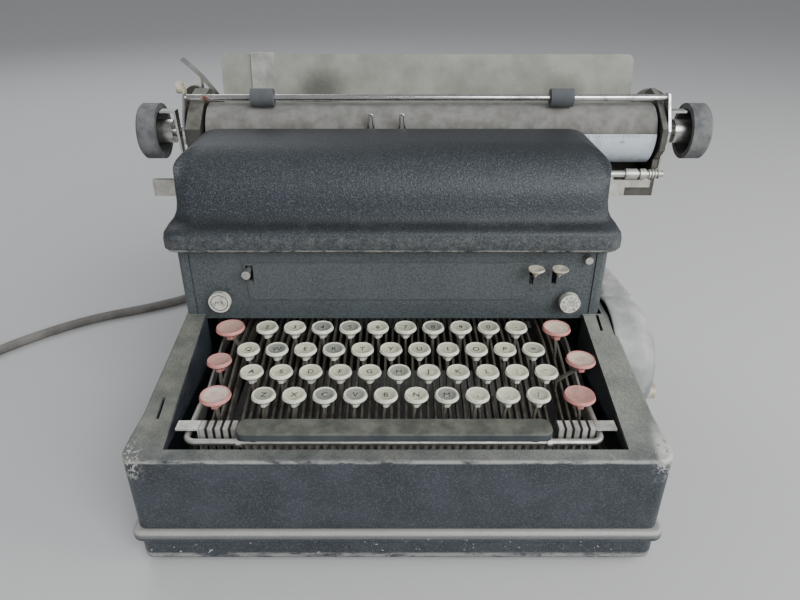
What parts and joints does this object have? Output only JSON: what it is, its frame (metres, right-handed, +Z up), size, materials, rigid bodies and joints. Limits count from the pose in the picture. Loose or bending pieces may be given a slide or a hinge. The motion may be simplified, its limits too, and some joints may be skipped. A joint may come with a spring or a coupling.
{
  "type": "electric typewriter",
  "caption": "Electric office typewriter with dished round keys, rounded hinged bonnet, long sliding carriage with platen and knobs, side motor cover and mains lead.",
  "frame": {"origin": "on the table top, under the middle of the machine with its carriage at the resting place; the mains lead isn't counted", "axes": "+X to the typist's right along the carriage, +Y away from the typist, +Z up"},
  "size_m": [0.7984, 0.4467, 0.2743],
  "materials": {
    "wrinkle_black": "wrinkle",
    "dusty_black": "satin",
    "bright_steel": "worn",
    "chrome": "polished",
    "dull_steel": "dusty",
    "cast_frame": "matt",
    "rubber_grey": "matt",
    "rubber_black": "matt",
    "key_cream": "worn",
    "key_red": "worn",
    "button_cream": "satin",
    "button_red": "satin",
    "scale_metal": "satin",
    "table_grey": "dusty",
    "dial_white": "satin",
    "cord_grey": "matt",
    "plug_black": "matt"
  },
  "bodies": {
    "machine": {"base_casing": "wrinkle_black", "rear_housing": "wrinkle_black", "front_panel": "wrinkle_black", "motor_cover": "dusty_black", "drive_motor": "cast_frame", "drive_belt": "rubber_black", "mechanism_frame": "cast_frame", "type_basket": "cast_frame", "typebars": "dull_steel", "carriage_rails": "bright_steel", "fulcrum_rod": "bright_steel", "key_comb": "bright_steel", "rubber_feet": "rubber_black", "casing_screws": "dull_steel", "mains_cord": "cord_grey", "cord_coil": "cord_grey", "cord_gland": "plug_black", "mains_plug": "plug_black"},
    "bonnet": {"bonnet": "wrinkle_black"},
    "power_switch": {"power_switch": "button_cream"},
    "motor_pulley": {"motor_pulley": "bright_steel"},
    "power_roller": {"power_roller": "rubber_black"},
    "left_ribbon_spool": {"left_ribbon_spool": "dull_steel"},
    "right_ribbon_spool": {"right_ribbon_spool": "dull_steel"},
    "carriage": {"carriage_frame": "cast_frame", "paper_table": "table_grey", "margin_rack": "bright_steel", "line_scale": "scale_metal", "paper_fingers": "bright_steel"},
    "platen": {"platen": "rubber_black", "platen_knobs": "rubber_grey"},
    "knob_button": {"knob_button": "button_red"},
    "paper_guide": {"paper_guide": "scale_metal"},
    "paper_bail": {"paper_bail": "chrome"},
    "left_bail_roller": {"left_bail_roller": "rubber_grey"},
    "right_bail_roller": {"right_bail_roller": "rubber_grey"},
    "left_margin_stop": {"left_margin_stop": "dull_steel"},
    "right_margin_stop": {"right_margin_stop": "dull_steel"},
    "left_release_lever": {"left_release_lever": "chrome"},
    "right_release_lever": {"right_release_lever": "chrome"},
    "line_space_lever": {"line_space_lever": "chrome"},
    "paper_release_lever": {"paper_release_lever": "button_cream"},
    "space_bar": {"space_bar": "dusty_black", "space_bar_rod": "bright_steel"},
    "push_button": {"push_button": "dial_white"},
    "impression_dial": {"impression_dial": "dial_white"},
    "bonnet_latch": {"bonnet_latch": "chrome"},
    "stencil_lever": {"stencil_lever": "chrome"},
    "tab_set_key": {"tab_set_key": "button_cream"},
    "tab_clear_key": {"tab_clear_key": "button_cream"},
    "number_row_keys": {"number_row_keys": "key_cream"},
    "top_row_keys": {"top_row_keys": "key_cream"},
    "home_row_keys": {"home_row_keys": "key_cream"},
    "bottom_row_keys": {"bottom_row_keys": "key_cream"},
    "tab_key": {"tab_key": "key_red"},
    "shift_lock_key": {"shift_lock_key": "key_red"},
    "left_shift_key": {"left_shift_key": "key_red"},
    "backspace_key": {"backspace_key": "key_red"},
    "return_key": {"return_key": "key_red"},
    "right_shift_key": {"right_shift_key": "key_red"}
  },
  "joints": [
    {"name": "bonnet_hinge", "type": "hinge", "parent": "machine", "child": "bonnet", "pos_m": [-0.015, -0.0465, 0.177], "axis": [1, 0, 0], "range_deg": [0, 25]},
    {"name": "power_switch_turn", "type": "hinge", "parent": "machine", "child": "power_switch", "pos_m": [0.173, -0.0555, 0.054], "axis": [1, 0, 0], "range_deg": [0, 60]},
    {"name": "motor_pulley_spin", "type": "hinge", "parent": "machine", "child": "motor_pulley", "pos_m": [0.126, -0.0415, 0.076], "axis": [1, 0, 0], "continuous": true},
    {"name": "power_roller_spin", "type": "hinge", "parent": "machine", "child": "power_roller", "pos_m": [0.126, 0.0125, 0.047], "axis": [1, 0, 0], "continuous": true},
    {"name": "left_ribbon_spool_spin", "type": "hinge", "parent": "machine", "child": "left_ribbon_spool", "pos_m": [-0.107, -0.0095, 0.18], "axis": [0, 0, 1], "continuous": true},
    {"name": "right_ribbon_spool_spin", "type": "hinge", "parent": "machine", "child": "right_ribbon_spool", "pos_m": [0.077, -0.0095, 0.18], "axis": [0, 0, 1], "continuous": true},
    {"name": "carriage_travel", "type": "slide", "parent": "machine", "child": "carriage", "axis": [1, 0, 0], "range_m": [-0.13, 0.1]},
    {"name": "platen_turn", "type": "hinge", "parent": "carriage", "child": "platen", "pos_m": [0.006, 0.0545, 0.222], "axis": [1, 0, 0], "continuous": true},
    {"name": "knob_button_push", "type": "slide", "parent": "platen", "child": "knob_button", "axis": [1, 0, 0], "range_m": [0, 0.003], "stiffness_N_per_m": 400, "springref_m": -0.001},
    {"name": "paper_guide_slide", "type": "slide", "parent": "carriage", "child": "paper_guide", "axis": [1, 0, 0], "range_m": [-0.02, 0.12]},
    {"name": "paper_bail_swing", "type": "hinge", "parent": "carriage", "child": "paper_bail", "pos_m": [0.006, 0.0325, 0.222], "axis": [1, 0, 0], "range_deg": [0, 40]},
    {"name": "left_bail_roller_spin", "type": "hinge", "parent": "paper_bail", "child": "left_bail_roller", "pos_m": [-0.116, 0.0445, 0.2492], "axis": [1, 0, 0], "continuous": true},
    {"name": "right_bail_roller_spin", "type": "hinge", "parent": "paper_bail", "child": "right_bail_roller", "pos_m": [0.107, 0.0445, 0.2492], "axis": [1, 0, 0], "continuous": true},
    {"name": "left_margin_stop_slide", "type": "slide", "parent": "carriage", "child": "left_margin_stop", "axis": [1, 0, 0], "range_m": [-0.04, 0.07]},
    {"name": "right_margin_stop_slide", "type": "slide", "parent": "carriage", "child": "right_margin_stop", "axis": [1, 0, 0], "range_m": [-0.07, 0.03]},
    {"name": "left_release_lever_press", "type": "hinge", "parent": "carriage", "child": "left_release_lever", "pos_m": [-0.1826, 0.0485, 0.2], "axis": [1, 0, 0], "range_deg": [0, 10], "stiffness_Nm_per_rad": 0.2, "springref_deg": -5.73},
    {"name": "right_release_lever_press", "type": "hinge", "parent": "carriage", "child": "right_release_lever", "pos_m": [0.1885, 0.0485, 0.2], "axis": [1, 0, 0], "range_deg": [0, 10], "stiffness_Nm_per_rad": 0.2, "springref_deg": -5.73},
    {"name": "line_space_lever_pull", "type": "hinge", "parent": "carriage", "child": "line_space_lever", "pos_m": [-0.162, 0.0995, 0.237], "axis": [0, 1, 0], "range_deg": [0, 25], "stiffness_Nm_per_rad": 0.2, "springref_deg": -11.46},
    {"name": "paper_release_lever_pull", "type": "hinge", "parent": "carriage", "child": "paper_release_lever", "pos_m": [-0.1826, 0.0695, 0.228], "axis": [1, 0, 0], "range_deg": [0, 20]},
    {"name": "space_bar_press", "type": "hinge", "parent": "machine", "child": "space_bar", "pos_m": [-0.015, 0.0685, 0.086], "axis": [1, 0, 0], "range_deg": [0, 1.15], "stiffness_Nm_per_rad": 8, "springref_deg": -3.44},
    {"name": "number_row_key_press", "type": "hinge", "parent": "machine", "child": "number_row_keys", "pos_m": [-0.015, 0.0685, 0.086], "axis": [1, 0, 0], "range_deg": [0, 1.3], "stiffness_Nm_per_rad": 30, "springref_deg": -2.86},
    {"name": "top_row_key_press", "type": "hinge", "parent": "machine", "child": "top_row_keys", "pos_m": [-0.015, 0.0685, 0.086], "axis": [1, 0, 0], "range_deg": [0, 1.3], "stiffness_Nm_per_rad": 30, "springref_deg": -2.86},
    {"name": "home_row_key_press", "type": "hinge", "parent": "machine", "child": "home_row_keys", "pos_m": [-0.015, 0.0685, 0.086], "axis": [1, 0, 0], "range_deg": [0, 1.3], "stiffness_Nm_per_rad": 30, "springref_deg": -2.86},
    {"name": "bottom_row_key_press", "type": "hinge", "parent": "machine", "child": "bottom_row_keys", "pos_m": [-0.015, 0.0685, 0.086], "axis": [1, 0, 0], "range_deg": [0, 1.3], "stiffness_Nm_per_rad": 30, "springref_deg": -2.86},
    {"name": "tab_key_press", "type": "hinge", "parent": "machine", "child": "tab_key", "pos_m": [-0.015, 0.0685, 0.086], "axis": [1, 0, 0], "range_deg": [0, 1.3], "stiffness_Nm_per_rad": 4, "springref_deg": -2.86},
    {"name": "shift_lock_key_press", "type": "hinge", "parent": "machine", "child": "shift_lock_key", "pos_m": [-0.015, 0.0685, 0.086], "axis": [1, 0, 0], "range_deg": [0, 1.3], "stiffness_Nm_per_rad": 4, "springref_deg": -2.86},
    {"name": "left_shift_key_press", "type": "hinge", "parent": "machine", "child": "left_shift_key", "pos_m": [-0.015, 0.0685, 0.086], "axis": [1, 0, 0], "range_deg": [0, 1.3], "stiffness_Nm_per_rad": 4, "springref_deg": -2.86},
    {"name": "backspace_key_press", "type": "hinge", "parent": "machine", "child": "backspace_key", "pos_m": [-0.015, 0.0685, 0.086], "axis": [1, 0, 0], "range_deg": [0, 1.3], "stiffness_Nm_per_rad": 4, "springref_deg": -2.86},
    {"name": "return_key_press", "type": "hinge", "parent": "machine", "child": "return_key", "pos_m": [-0.015, 0.0685, 0.086], "axis": [1, 0, 0], "range_deg": [0, 1.3], "stiffness_Nm_per_rad": 4, "springref_deg": -2.86},
    {"name": "right_shift_key_press", "type": "hinge", "parent": "machine", "child": "right_shift_key", "pos_m": [-0.015, 0.0685, 0.086], "axis": [1, 0, 0], "range_deg": [0, 1.3], "stiffness_Nm_per_rad": 4, "springref_deg": -2.86},
    {"name": "push_button_push", "type": "slide", "parent": "machine", "child": "push_button", "axis": [0, 1, 0], "range_m": [0, 0.003], "stiffness_N_per_m": 400, "springref_m": -0.001},
    {"name": "impression_dial_turn", "type": "hinge", "parent": "machine", "child": "impression_dial", "pos_m": [0.105, -0.0495, 0.1296], "axis": [0, 1, 0], "range_deg": [-150, 150]},
    {"name": "bonnet_latch_turn", "type": "hinge", "parent": "machine", "child": "bonnet_latch", "pos_m": [0.115, -0.0495, 0.161], "axis": [0, 1, 0], "range_deg": [0, 90]},
    {"name": "stencil_lever_slide", "type": "slide", "parent": "machine", "child": "stencil_lever", "axis": [0, 0, 1], "range_m": [-0.008, 0]},
    {"name": "tab_set_key_press", "type": "hinge", "parent": "machine", "child": "tab_set_key", "pos_m": [0.078, -0.0255, 0.152], "axis": [1, 0, 0], "range_deg": [0, 6], "stiffness_Nm_per_rad": 0.05, "springref_deg": -5.73},
    {"name": "tab_clear_key_press", "type": "hinge", "parent": "machine", "child": "tab_clear_key", "pos_m": [0.094, -0.0255, 0.152], "axis": [1, 0, 0], "range_deg": [0, 6], "stiffness_Nm_per_rad": 0.05, "springref_deg": -5.73}
  ],
  "couplings": [
    {"joint": "motor_pulley_spin", "follows": "power_roller_spin", "ratio": 2.5},
    {"joint": "right_ribbon_spool_spin", "follows": "left_ribbon_spool_spin", "ratio": 1}
  ]
}
